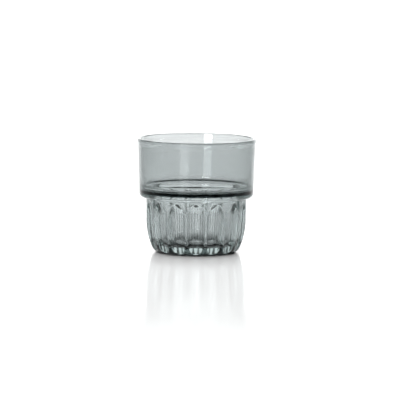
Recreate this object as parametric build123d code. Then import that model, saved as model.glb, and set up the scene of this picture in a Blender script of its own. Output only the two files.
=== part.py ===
from build123d import *
import math
import os

# Whiskey tumbler of smoke-grey pressed glass: one solid, turned about Z, with flutes pressed into
# its lower body. Millimetres. It stands on z = 0, and one flute is centred on -Y, the front.

# Overall
HEIGHT = 82.5
LIP_RADIUS = 43.0
LIP_THICKNESS = 2.4
LIP_ROUND = 1.15

# Plain upper band: slightly tapered, with a low bead under the lip
BAND_TOP_RADIUS = 42.45
BEAD_FOOT_HEIGHT = 77.5
BEAD_TOP_HEIGHT = 80.3
BEAD_BLENDS = (8.0, 4.0)
SHOULDER_RADIUS = 41.4
SHOULDER_ROUND = 3.0
SHOULDER_UNDERSIDE = 39.8

# Fluted lower body, with a long round heel
BODY_RADIUS = 36.6
NECK_FILLET = 0.8
HEEL_ARC = 50.0
HEEL_BEND_HEIGHT = 14.0
FOOT_RADIUS = 30.5
FOOT_FILLET = 6.5

# Underside: a resting ring round a shallow recess
RING_INNER_RADIUS = 22.6
RECESS_RADIUS = 21.2
RECESS_DEPTH = 1.2
RECESS_FILLET = 0.5

# Hollow: upper bowl, ledge, and the narrower well under it
BOWL_BOTTOM_RADIUS = 38.4
LEDGE_HEIGHT = 46.2
LEDGE_DROP = 0.7
LEDGE_INNER_RADIUS = 31.4
BOWL_FILLET = 4.8
LEDGE_ROUND = 3.5
WELL_RADIUS = 27.0
WELL_FILLET = 7.0
FLOOR_THICKNESS = 6.0

# Flutes: scoops left by a round tool. From its tip each one leans in towards the axis, then
# follows the heel and runs out just above the foot.
FLUTES = 16
TOOL_RADIUS = 9.0
FLUTE_BOTTOM_RADIUS = 33.1
FLUTE_TIP_HEIGHT = 38.7
FLUTE_LEAN = 23.0
FLUTE_BLEND = 20.0
FLUTE_HEEL_ARC = 112.0
TOOL_HALF_WIDTH = 8.0
TOOL_HEIGHT = 7.0
OVERRUN = 3.0

# Grams per cubic millimetre, for the printed mass
GLASS_DENSITY = 0.0025


def make_body():
    """The whole glass before fluting, turned from one outline: up the outside, down the inside."""
    lip_inner = LIP_RADIUS - LIP_THICKNESS
    corners = [
        (0, RECESS_DEPTH, 0),
        (RECESS_RADIUS, RECESS_DEPTH, RECESS_FILLET),
        (RING_INNER_RADIUS, 0, RECESS_FILLET),
        (FOOT_RADIUS, 0, FOOT_FILLET),
        (BODY_RADIUS, HEEL_BEND_HEIGHT, HEEL_ARC),
        (BODY_RADIUS, SHOULDER_UNDERSIDE, NECK_FILLET),
        (SHOULDER_RADIUS, SHOULDER_UNDERSIDE, SHOULDER_ROUND),
        (BAND_TOP_RADIUS, BEAD_FOOT_HEIGHT, BEAD_BLENDS[0]),
        (LIP_RADIUS, BEAD_TOP_HEIGHT, BEAD_BLENDS[1]),
        (LIP_RADIUS, HEIGHT, LIP_ROUND),
        (lip_inner, HEIGHT, LIP_ROUND),
        (BOWL_BOTTOM_RADIUS, LEDGE_HEIGHT, BOWL_FILLET),
        (LEDGE_INNER_RADIUS, LEDGE_HEIGHT - LEDGE_DROP, LEDGE_ROUND),
        (WELL_RADIUS, FLOOR_THICKNESS, WELL_FILLET),
        (0, FLOOR_THICKNESS, 0),
    ]
    points = [(r, z) for r, z, fillet in corners]
    fillets = [fillet for r, z, fillet in corners[1:-1]]
    outline = FilletPolyline(*points, radius=fillets)
    face = make_face(outline + Line(points[-1], points[0]))
    return revolve(Plane.XZ * face, Axis.Z)


def make_flute_tool():
    """The front flute's cutter: a round-nosed section swept along the line of the flute's bottom."""
    lean = math.radians(FLUTE_LEAN)
    depth = BODY_RADIUS - FLUTE_BOTTOM_RADIUS
    slope_length = (depth - FLUTE_BLEND * (1 - math.cos(lean))) / math.sin(lean)
    down = Vector(-math.sin(lean), -math.cos(lean))
    tip = Vector(BODY_RADIUS, FLUTE_TIP_HEIGHT)

    slope = Line(tip - down * OVERRUN, tip + down * slope_length)
    blend = JernArc(slope @ 1, slope % 1, FLUTE_BLEND, FLUTE_LEAN)
    heel_turn = math.degrees(math.asin(((blend @ 1).Y + OVERRUN) / FLUTE_HEEL_ARC))
    heel = JernArc(blend @ 1, blend % 1, FLUTE_HEEL_ARC, -heel_turn)
    front = Plane(origin=(0, 0, 0), x_dir=(0, -1, 0), z_dir=(-1, 0, 0))
    path = front * (slope + blend + heel)

    sagitta = TOOL_RADIUS - math.sqrt(TOOL_RADIUS**2 - TOOL_HALF_WIDTH**2)
    nose = ThreePointArc((-TOOL_HALF_WIDTH, sagitta), (0, 0), (TOOL_HALF_WIDTH, sagitta))
    back = Polyline(
        (TOOL_HALF_WIDTH, sagitta),
        (TOOL_HALF_WIDTH, TOOL_HEIGHT),
        (-TOOL_HALF_WIDTH, TOOL_HEIGHT),
        (-TOOL_HALF_WIDTH, sagitta),
    )
    start = Plane(origin=path @ 0, x_dir=(1, 0, 0), z_dir=path % 0)
    tool = sweep(start * make_face(nose + back), path=path)
    below_shoulder = Pos(0, 0, SHOULDER_UNDERSIDE - NECK_FILLET) * Box(
        4 * LIP_RADIUS, 4 * LIP_RADIUS, 2 * HEIGHT, align=(Align.CENTER, Align.CENTER, Align.MAX)
    )
    return tool & below_shoulder


def make_glass():
    """The turned body with its ring of flutes cut away."""
    tool = make_flute_tool()
    cutters = [Rot(0, 0, 360 * i / FLUTES) * tool for i in range(FLUTES)]
    return make_body() - cutters


def bowl_volume():
    """Brimful capacity in cubic millimetres: a plug to the lip's top, less the glass."""
    plug = Pos(0, 0, HEIGHT / 2 + FLOOR_THICKNESS / 2) * Cylinder(
        (LIP_RADIUS - LIP_THICKNESS / 2), HEIGHT - FLOOR_THICKNESS
    )
    space = plug - make_body()
    return max(solid.volume for solid in space.solids())


glass = make_glass()
os.makedirs("parts", exist_ok=True)
glass.label = "glass_body"
export_step(glass, "parts/glass_body.step")
print("glass volume ml", round(glass.volume / 1000, 1))
print("glass mass g", round(glass.volume * GLASS_DENSITY))
print("capacity ml", round(bowl_volume() / 1000, 1))
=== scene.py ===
import math

import bmesh
import bpy
import numpy as np
from mathutils import Matrix, Vector


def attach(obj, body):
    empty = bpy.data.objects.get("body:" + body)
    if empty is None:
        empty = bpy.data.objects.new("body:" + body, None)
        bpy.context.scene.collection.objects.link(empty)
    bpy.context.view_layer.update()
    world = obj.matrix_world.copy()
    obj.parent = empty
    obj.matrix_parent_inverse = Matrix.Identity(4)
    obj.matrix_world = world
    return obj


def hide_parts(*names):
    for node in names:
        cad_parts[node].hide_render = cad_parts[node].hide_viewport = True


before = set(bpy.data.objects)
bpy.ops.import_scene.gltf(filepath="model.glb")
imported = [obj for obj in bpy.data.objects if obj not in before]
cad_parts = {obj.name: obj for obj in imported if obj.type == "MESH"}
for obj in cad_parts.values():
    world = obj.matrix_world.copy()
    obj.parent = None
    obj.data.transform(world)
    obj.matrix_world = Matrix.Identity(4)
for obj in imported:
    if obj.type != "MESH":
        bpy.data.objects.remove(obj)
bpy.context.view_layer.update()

# ---------------------------------------------------------------- the glass's dimensions, in mm
MM = 0.001

HEIGHT = 82.5
LIP_RADIUS = 43.0
LIP_THICKNESS = 2.4
LIP_ROUND = 1.15

BAND_TOP_RADIUS = 42.45
BEAD_FOOT_HEIGHT = 77.5
BEAD_TOP_HEIGHT = 80.3
BEAD_BLENDS = (8.0, 4.0)
SHOULDER_RADIUS = 41.4
SHOULDER_ROUND = 3.0
SHOULDER_UNDERSIDE = 39.8

BODY_RADIUS = 36.6
NECK_FILLET = 0.8
HEEL_ARC = 50.0
HEEL_BEND_HEIGHT = 14.0
FOOT_RADIUS = 30.5
FOOT_FILLET = 6.5

RING_INNER_RADIUS = 22.6
RECESS_RADIUS = 21.2
RECESS_DEPTH = 1.2
RECESS_FILLET = 0.5

BOWL_BOTTOM_RADIUS = 38.4
LEDGE_HEIGHT = 46.2
LEDGE_DROP = 0.7
LEDGE_INNER_RADIUS = 31.4
BOWL_FILLET = 4.8
LEDGE_ROUND = 3.5
WELL_RADIUS = 27.0
WELL_FILLET = 7.0
FLOOR_THICKNESS = 6.0

FLUTES = 16
TOOL_RADIUS = 9.0
FLUTE_BOTTOM_RADIUS = 33.1
FLUTE_TIP_HEIGHT = 38.7
FLUTE_LEAN = math.radians(23.0)
FLUTE_BLEND = 20.0
FLUTE_HEEL_ARC = 112.0

# Fire polish: how far the sharp ridges are softened
RIDGE_SOFTNESS = 0.15

# Smoke coat, in plain coats: 1 from the resting ring up to the lip. These raise it as painted shade,
# in a ring level with the ledge and on the ribs by the foot. A real glass has no such paint: it stands
# in for dark refraction that this shape doesn't give. With both at 0 the coat is plain.
BAND_PAINTED_SHADE = 5.0
BAND_SHADE_RANGE = (43.4, 46.1)
BAND_BLEND = 0.5
RIB_PAINTED_SHADE = 2.5
RIB_TOP = 8.0
RIB_FADE = 3.0
RIB_BLEND = 0.22

# How far outside the resting ring's inner edge the coat and the flutes begin. Inside that it's bare.
COAT_INSET = 2.5
FLUTE_INSET = 1.0

# ---------------------------------------------------------------- mesh resolution
# Columns crowd towards the ridges by COLUMN_EASE. An arc's steps are at most ARC_STEP and ARC_SHARE of
# its radius. Lines within FLUTED_REACH of the body's radius are fine enough to carry the flutes.
COLUMNS_PER_FLUTE = 24
COLUMN_EASE = 0.8
ARC_STEP = 0.55
ARC_SHARE = 0.16
ARC_MIN_STEPS = 4
LINE_STEP = 4.0
FLUTED_STEP = 0.6
FLUTED_REACH = 6.0
BAND_STEP = 0.45
SAME_POINT = 1e-6

# Solving a flute's surface along a column
FLUTE_PASSES = 12
FLUTE_FIRST_GUESS = FLUTE_BOTTOM_RADIUS + 1.0
TOOL_REACH = TOOL_RADIUS * 0.9


def corner_list():
    """The glass's outline in (radius, height, fillet), up the outside and down the inside."""
    lip_inner = LIP_RADIUS - LIP_THICKNESS
    outside = [
        (0.0, RECESS_DEPTH, 0.0),
        (RECESS_RADIUS, RECESS_DEPTH, RECESS_FILLET),
        (RING_INNER_RADIUS, 0.0, RECESS_FILLET),
        (FOOT_RADIUS, 0.0, FOOT_FILLET),
        (BODY_RADIUS, HEEL_BEND_HEIGHT, HEEL_ARC),
        (BODY_RADIUS, SHOULDER_UNDERSIDE, NECK_FILLET),
        (SHOULDER_RADIUS, SHOULDER_UNDERSIDE, SHOULDER_ROUND),
        (BAND_TOP_RADIUS, BEAD_FOOT_HEIGHT, BEAD_BLENDS[0]),
        (LIP_RADIUS, BEAD_TOP_HEIGHT, BEAD_BLENDS[1]),
        (LIP_RADIUS, HEIGHT, LIP_ROUND),
    ]
    inside = [
        (lip_inner, HEIGHT, LIP_ROUND),
        (BOWL_BOTTOM_RADIUS, LEDGE_HEIGHT, BOWL_FILLET),
        (LEDGE_INNER_RADIUS, LEDGE_HEIGHT - LEDGE_DROP, LEDGE_ROUND),
        (WELL_RADIUS, FLOOR_THICKNESS, WELL_FILLET),
        (0.0, FLOOR_THICKNESS, 0.0),
    ]
    return outside + inside


def fillet_arc(before, corner, after, radius):
    """Points along the arc that rounds a corner between its two neighbours."""
    back = before - corner
    ahead = after - corner
    back /= np.linalg.norm(back)
    ahead /= np.linalg.norm(ahead)
    half = math.acos(max(-1.0, min(1.0, float(back @ ahead)))) / 2
    reach = radius / math.tan(half)
    middle = (back + ahead) / np.linalg.norm(back + ahead)
    centre = corner + middle * radius / math.sin(half)
    start = corner + back * reach
    end = corner + ahead * reach
    turn = math.pi - 2 * half
    step = min(ARC_STEP, radius * ARC_SHARE)
    count = max(ARC_MIN_STEPS, math.ceil(radius * turn / step))
    first = math.atan2(*(start - centre)[::-1])
    sign = 1.0 if np.cross(start - centre, end - centre) > 0 else -1.0
    angles = first + sign * turn * np.linspace(0, 1, count + 1)
    return centre + radius * np.stack([np.cos(angles), np.sin(angles)], 1)


def rounded_outline(corners):
    """Points along the filleted outline, close together on arcs and on the fluted stretch."""
    pts = [np.array(c[:2], float) for c in corners]
    path = [pts[0]]
    for i in range(1, len(pts) - 1):
        arc = fillet_arc(pts[i - 1], pts[i], pts[i + 1], corners[i][2])
        add_line(path, arc[0])
        path.extend(arc[1:])
    add_line(path, pts[-1])
    return np.array(path)


def add_line(path, end):
    """Extends the path to end in even steps, fine where it's fluted or crosses the dark band."""
    start = path[-1]
    length = float(np.linalg.norm(end - start))
    if length < SAME_POINT:
        return
    fluted = start[0] > FOOT_RADIUS and max(start[1], end[1]) < SHOULDER_UNDERSIDE
    step = FLUTED_STEP if fluted and abs(start[0] - BODY_RADIUS) < FLUTED_REACH else LINE_STEP
    count = max(1, math.ceil(length / step))
    marks = list(np.linspace(0, 1, count + 1)[1:])
    if start[1] < BAND_SHADE_RANGE[0] < end[1]:
        rise = np.arange(*BAND_SHADE_RANGE, BAND_STEP) - start[1]
        marks = sorted(marks + list(rise / (end[1] - start[1])))
    for t in marks:
        path.append(start + (end - start) * t)


def flute_line(height, sideways):
    """How far out the flute's surface is at a height, at a sideways distance from its middle."""
    depth = BODY_RADIUS - FLUTE_BOTTOM_RADIUS
    slope_length = (depth - FLUTE_BLEND * (1 - math.cos(FLUTE_LEAN))) / math.sin(FLUTE_LEAN)
    heel_start = (
        FLUTE_TIP_HEIGHT
        - slope_length * math.cos(FLUTE_LEAN)
        - FLUTE_BLEND * math.sin(FLUTE_LEAN)
    )
    lift = TOOL_RADIUS - np.sqrt(TOOL_RADIUS**2 - sideways**2)
    rise = height - heel_start
    below = np.minimum(rise, 0)
    heel = FLUTE_BOTTOM_RADIUS - FLUTE_HEEL_ARC
    heel = heel + np.sqrt((FLUTE_HEEL_ARC + lift) ** 2 - below**2)
    blend_top = (FLUTE_BLEND - lift) * math.sin(FLUTE_LEAN)
    inside = np.clip(rise, 0, blend_top)
    blend = FLUTE_BOTTOM_RADIUS + FLUTE_BLEND - np.sqrt((FLUTE_BLEND - lift) ** 2 - inside**2)
    slope = (
        BODY_RADIUS
        + lift * math.cos(FLUTE_LEAN)
        + (height - FLUTE_TIP_HEIGHT + lift * math.sin(FLUTE_LEAN)) * math.tan(FLUTE_LEAN)
    )
    return np.where(rise < 0, heel, np.where(rise < blend_top, blend, slope))


def fluted_radius(radius, height, angles):
    """The outside radius at every column angle, and how far the cut lies outside the blank."""
    cut = np.full_like(angles, FLUTE_FIRST_GUESS)
    for _ in range(FLUTE_PASSES):
        sideways = np.clip(cut * np.sin(angles), -TOOL_REACH, TOOL_REACH)
        cut = flute_line(height, sideways) / np.cos(angles)
    blend = RIDGE_SOFTNESS
    gap = np.clip(0.5 + 0.5 * (cut - radius) / blend, 0, 1)
    return cut * (1 - gap) + radius * gap - blend * gap * (1 - gap), cut - radius


def smooth_step(value, start, end):
    """0 at start, 1 at end, eased at both."""
    t = np.clip((value - start) / (end - start), 0, 1)
    return t * t * (3 - 2 * t)


def rib_painted_shade(height, clearance):
    """Painted shade: extra coat that darkens the ribs left between the flutes by the foot."""
    low = smooth_step(height, RIB_TOP, RIB_TOP - RIB_FADE)
    return RIB_PAINTED_SHADE * smooth_step(clearance, 0, RIB_BLEND) * low


def band_painted_shade(height):
    """Painted shade: extra coat that darkens a ring level with the ledge."""
    low, high = BAND_SHADE_RANGE
    above = smooth_step(height, low, low + BAND_BLEND)
    below = smooth_step(height, high, high - BAND_BLEND)
    return BAND_PAINTED_SHADE * above * below


def column_angles():
    """Column angles round the glass, and each one's angle from its own flute's middle."""
    pitch = 2 * math.pi / FLUTES
    t = np.linspace(-1, 1, COLUMNS_PER_FLUTE + 1)[:-1]
    widest = math.sin(math.pi / 2 * COLUMN_EASE)
    local = 0.5 * pitch * np.sin(t * math.pi / 2 * COLUMN_EASE) / widest
    middles = -math.pi / 2 + pitch * np.arange(FLUTES)
    around = (middles[:, None] + local[None, :]).ravel()
    return around, np.tile(local, FLUTES)


def ring_shape(radius, height, outside, local):
    """A ring's radius and coat, with the painted shade, at every column; the outside is fluted below
    the neck.
    """
    radii = np.full(len(local), radius)
    coat_and_painted_shade = np.zeros(len(local))
    if outside and radius > RING_INNER_RADIUS + COAT_INSET:
        # painted shade: the coat is raised in a dark ring level with the ledge
        coat_and_painted_shade += 1 + band_painted_shade(height)
    neck = SHOULDER_UNDERSIDE - NECK_FILLET
    if outside and height < neck and radius > RING_INNER_RADIUS + FLUTE_INSET:
        radii, clearance = fluted_radius(radius, height, local)
        # painted shade: the coat is raised on the ribs by the foot
        coat_and_painted_shade *= 1 + rib_painted_shade(height, clearance)
    return radii, coat_and_painted_shade


def add_ring(mesh, layer, place, outside, columns):
    """One ring of vertices with their coat and painted shade, or a single bare point on the axis."""
    radius, height = place
    around, local = columns
    if radius < SAME_POINT:
        return [mesh.verts.new((0, 0, height * MM))]
    radii, coat_and_painted_shade = ring_shape(radius, height, outside, local)
    x = radii * np.cos(around) * MM
    y = radii * np.sin(around) * MM
    ring = [mesh.verts.new((a, b, height * MM)) for a, b in zip(x, y)]
    for vert, coat_and_shade_depth in zip(ring, coat_and_painted_shade):
        vert[layer] = float(coat_and_shade_depth)
    return ring


def glass_mesh():
    """The whole tumbler as one closed mesh of rings."""
    outline = rounded_outline(corner_list())
    columns = column_angles()
    top = int(np.argmax(outline[:, 1]))
    mesh = bmesh.new()
    # Per-vertex coat, with the painted shade of the ledge ring and the ribs
    layer = mesh.verts.layers.float.new("coat_and_painted_shade")
    rings = [add_ring(mesh, layer, place, i < top, columns) for i, place in enumerate(outline)]
    for low, high in zip(rings[:-1], rings[1:]):
        join_rings(mesh, low, high)
    bmesh.ops.recalc_face_normals(mesh, faces=mesh.faces[:])
    data = bpy.data.meshes.new("glass_tumbler")
    mesh.to_mesh(data)
    mesh.free()
    data.polygons.foreach_set("use_smooth", [True] * len(data.polygons))
    return data


def join_rings(mesh, low, high):
    """Faces between two rings, either of which may be a single point on the axis."""
    count = max(len(low), len(high))
    for i in range(count):
        j = (i + 1) % count
        if len(low) == 1:
            mesh.faces.new((low[0], high[j], high[i]))
        elif len(high) == 1:
            mesh.faces.new((low[i], low[j], high[0]))
        else:
            mesh.faces.new((low[i], low[j], high[j], high[i]))


# ---------------------------------------------------------------- materials
# SMOKE is what a plain coat lets through, and SMOKE_MIRROR what it leaves of a reflection
GLASS_IOR = 1.52
SMOKE = (0.33, 0.36, 0.362)
SMOKE_MIRROR = (0.4, 0.42, 0.42)
SLANT_COAT = 1.0
SLANT_POWER = 2.0
CLOUD_SCALE = 35.0
CLOUD_DEPTH = 0.1
RIPPLE_SCALE = 70.0
RIPPLE_DEPTH = 0.00003
WEAR_HEIGHT = 0.0004
WEAR_ROUGHNESS = 0.3
BODY_TINT = (0.9, 0.96, 0.95)
BODY_DENSITY = 20.0
NOISE_DETAIL = 1.0

FLOOR_COLOUR = (0.86, 0.86, 0.86)
FLOOR_ROUGHNESS = 0.12
FLOOR_IOR = 1.5


def math_node(nodes, links, operation, *values):
    """A maths node on numbers or other nodes' outputs; returns its result."""
    node = nodes.new("ShaderNodeMath")
    node.operation = operation
    for value, socket in zip(values, node.inputs):
        if isinstance(value, (int, float)):
            socket.default_value = value
        else:
            links.new(value, socket)
    return node.outputs[0]


def step_node(nodes, links, value, start, end):
    """0 before start and 1 past end."""
    ramp = nodes.new("ShaderNodeMapRange")
    ramp.inputs["From Min"].default_value = start
    ramp.inputs["From Max"].default_value = end
    links.new(value, ramp.inputs["Value"])
    return ramp.outputs["Result"]


def noise_node(nodes, links, place, scale):
    """Soft clouds from 0 to 1."""
    noise = nodes.new("ShaderNodeTexNoise")
    noise.inputs["Scale"].default_value = scale
    noise.inputs["Detail"].default_value = NOISE_DETAIL
    links.new(place, noise.inputs["Vector"])
    return noise.outputs[0]


def smoke_glass():
    """Soda glass whose outside surface has a smoke coat, denser where it's seen at a slant."""
    material = bpy.data.materials.new("smoke_glass")
    material.use_nodes = True
    nodes = material.node_tree.nodes
    links = material.node_tree.links
    shader = nodes["Principled BSDF"]
    # The coat attribute carries the smoke coat and the painted shade on the ledge ring and the ribs
    coat_and_painted_shade = nodes.new("ShaderNodeAttribute")
    coat_and_painted_shade.attribute_name = "coat_and_painted_shade"
    facing = nodes.new("ShaderNodeLayerWeight")
    slant = math_node(nodes, links, "POWER", facing.outputs["Facing"], SLANT_POWER)
    slant = math_node(nodes, links, "MULTIPLY", slant, SLANT_COAT)
    slant = math_node(nodes, links, "ADD", slant, 1.0)
    place = nodes.new("ShaderNodeTexCoord")
    cloud = noise_node(nodes, links, place.outputs["Object"], CLOUD_SCALE)
    cloud = math_node(nodes, links, "MULTIPLY", cloud, CLOUD_DEPTH)
    slant = math_node(nodes, links, "ADD", slant, cloud)
    coat_and_shade_depth = math_node(nodes, links, "MULTIPLY", slant, coat_and_painted_shade.outputs["Fac"])
    for tint, socket in ((SMOKE, "Base Color"), (SMOKE_MIRROR, "Specular Tint")):
        colour = nodes.new("ShaderNodeCombineColor")
        for i, channel in enumerate(tint):
            links.new(math_node(nodes, links, "POWER", channel, coat_and_shade_depth), colour.inputs[i])
        links.new(colour.outputs["Color"], shader.inputs[socket])
    split = nodes.new("ShaderNodeSeparateXYZ")
    links.new(place.outputs["Object"], split.inputs["Vector"])
    worn = step_node(nodes, links, split.outputs["Z"], WEAR_HEIGHT, 0.0)
    worn = math_node(nodes, links, "MULTIPLY", worn, WEAR_ROUGHNESS)
    links.new(worn, shader.inputs["Roughness"])
    swell = noise_node(nodes, links, place.outputs["Object"], RIPPLE_SCALE)
    ripple = nodes.new("ShaderNodeBump")
    ripple.inputs["Strength"].default_value = 1.0
    ripple.inputs["Distance"].default_value = RIPPLE_DEPTH
    links.new(swell, ripple.inputs["Height"])
    links.new(ripple.outputs["Normal"], shader.inputs["Normal"])
    shader.inputs["IOR"].default_value = GLASS_IOR
    shader.inputs["Transmission Weight"].default_value = 1.0
    volume = nodes.new("ShaderNodeVolumeAbsorption")
    volume.inputs["Color"].default_value = (*BODY_TINT, 1)
    volume.inputs["Density"].default_value = BODY_DENSITY
    links.new(volume.outputs["Volume"], nodes["Material Output"].inputs["Volume"])
    return material


def floor_material():
    """Polished white acrylic."""
    material = bpy.data.materials.new("white_floor")
    material.use_nodes = True
    shader = material.node_tree.nodes["Principled BSDF"]
    shader.inputs["Base Color"].default_value = (*FLOOR_COLOUR, 1)
    shader.inputs["Roughness"].default_value = FLOOR_ROUGHNESS
    shader.inputs["IOR"].default_value = FLOOR_IOR
    return material


# ---------------------------------------------------------------- camera, floor and light
# Metres, apart from the lens and its sensor, which are in millimetres
CAMERA_DISTANCE = 2.0
CAMERA_HEIGHT = 0.268
CAMERA_AIM = (0.0027, 0.0, 0.0375)
CAMERA_ROLL = math.radians(0.55)
CAMERA_FAR = 50.0
LENS = 250.0
SENSOR_WIDTH = 36.0

FLOOR_HALF_SIZE = 6.0

# Lamps face a point inside the glass; angles are in degrees
LAMP_AIM = Vector((0, 0, 0.04))
FRONT_AZIMUTH = -24
FRONT_ELEVATION = 21
FRONT_DISTANCE = 1.8
FRONT_WIDTH = 0.6
FRONT_HEIGHT = 1.75
FRONT_LIGHT = 8.0
WASH_DISTANCE = 3.0
WASH_SIZE = 3.0
WASH_LIGHT = 5.0

# The backdrop fills the directions past BACKDROP_SIDE to the back and below BACKDROP_TOP
BACKDROP_LIGHT = 1.8
ROOM_LIGHT = 0.06
BACKDROP_SIDE = 0.7
BACKDROP_TOP = 0.5
BACKDROP_FADE = 0.2

GLASS_BOUNCES = 48
MIRROR_BOUNCES = 32


def add_object(name, data):
    """A new object in the scene."""
    item = bpy.data.objects.new(name, data)
    bpy.context.scene.collection.objects.link(item)
    return item


def add_camera():
    """A long lens at the front, a little above the glass."""
    data = bpy.data.cameras.new("camera")
    data.lens = LENS
    data.sensor_width = SENSOR_WIDTH
    data.clip_end = CAMERA_FAR
    camera = add_object("camera", data)
    place = Vector((0, -CAMERA_DISTANCE, CAMERA_HEIGHT))
    turn = (Vector(CAMERA_AIM) - place).to_track_quat("-Z", "Y").to_matrix().to_4x4()
    camera.matrix_world = Matrix.Translation(place) @ turn @ Matrix.Rotation(CAMERA_ROLL, 4, "Z")
    bpy.context.scene.camera = camera


def add_floor():
    """The surface that the glass stands on."""
    size = FLOOR_HALF_SIZE
    data = bpy.data.meshes.new("floor")
    corners = [(-size, -size, 0), (size, -size, 0), (size, size, 0), (-size, size, 0)]
    data.from_pydata(corners, [], [(0, 1, 2, 3)])
    data.materials.append(floor_material())
    floor = add_object("floor", data)


def add_softbox(name, azimuth, elevation, distance, width, height, radiance):
    """A rectangular lamp facing the glass; azimuth 0 is the front, -Y, and grows towards +X."""
    data = bpy.data.lights.new(name, "AREA")
    data.shape = "RECTANGLE"
    data.size = width
    data.size_y = height
    data.energy = radiance * math.pi * width * height
    lamp = add_object(name, data)
    a = math.radians(azimuth)
    e = math.radians(elevation)
    place = Vector((math.sin(a) * math.cos(e), -math.cos(a) * math.cos(e), math.sin(e))) * distance
    lamp.location = place + LAMP_AIM
    lamp.rotation_euler = (-place).to_track_quat("-Z", "Y").to_euler()
    return lamp


def add_front_softbox():
    """The tall lamp whose reflection is the long stripe down the glass."""
    add_softbox(
        "front_softbox",
        FRONT_AZIMUTH,
        FRONT_ELEVATION,
        FRONT_DISTANCE,
        FRONT_WIDTH,
        FRONT_HEIGHT,
        FRONT_LIGHT,
    )


def add_floor_wash():
    """A broad overhead light for the floor, which isn't seen in or through the glass."""
    lamp = add_softbox("floor_wash", 0, 90, WASH_DISTANCE, WASH_SIZE, WASH_SIZE, WASH_LIGHT)
    lamp.visible_transmission = False
    lamp.visible_glossy = False


def add_world():
    """A white backdrop, low behind the glass, in an otherwise dim room."""
    world = bpy.data.worlds.new("studio")
    bpy.context.scene.world = world
    world.use_nodes = True
    nodes = world.node_tree.nodes
    links = world.node_tree.links
    background = nodes["Background"]
    where = nodes.new("ShaderNodeTexCoord")
    split = nodes.new("ShaderNodeSeparateXYZ")
    links.new(where.outputs["Generated"], split.inputs["Vector"])
    side_end = BACKDROP_SIDE + BACKDROP_FADE
    top_end = BACKDROP_TOP - BACKDROP_FADE
    behind = step_node(nodes, links, split.outputs["Y"], BACKDROP_SIDE, side_end)
    low = step_node(nodes, links, split.outputs["Z"], BACKDROP_TOP, top_end)
    both = math_node(nodes, links, "MULTIPLY", behind, low)
    level = nodes.new("ShaderNodeMapRange")
    level.inputs["To Min"].default_value = ROOM_LIGHT
    level.inputs["To Max"].default_value = BACKDROP_LIGHT
    links.new(both, level.inputs["Value"])
    links.new(level.outputs["Result"], background.inputs["Strength"])
    background.inputs["Color"].default_value = (1, 1, 1, 1)


add_camera()
add_floor()
add_world()
add_front_softbox()
add_floor_wash()
bpy.context.scene.view_settings.view_transform = "Standard"
bpy.context.scene.cycles.max_bounces = GLASS_BOUNCES
bpy.context.scene.cycles.transmission_bounces = GLASS_BOUNCES
bpy.context.scene.cycles.glossy_bounces = MIRROR_BOUNCES

tumbler = add_object("glass_tumbler", glass_mesh())
tumbler.data.materials.append(smoke_glass())
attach(tumbler, "root")
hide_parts("glass_body")
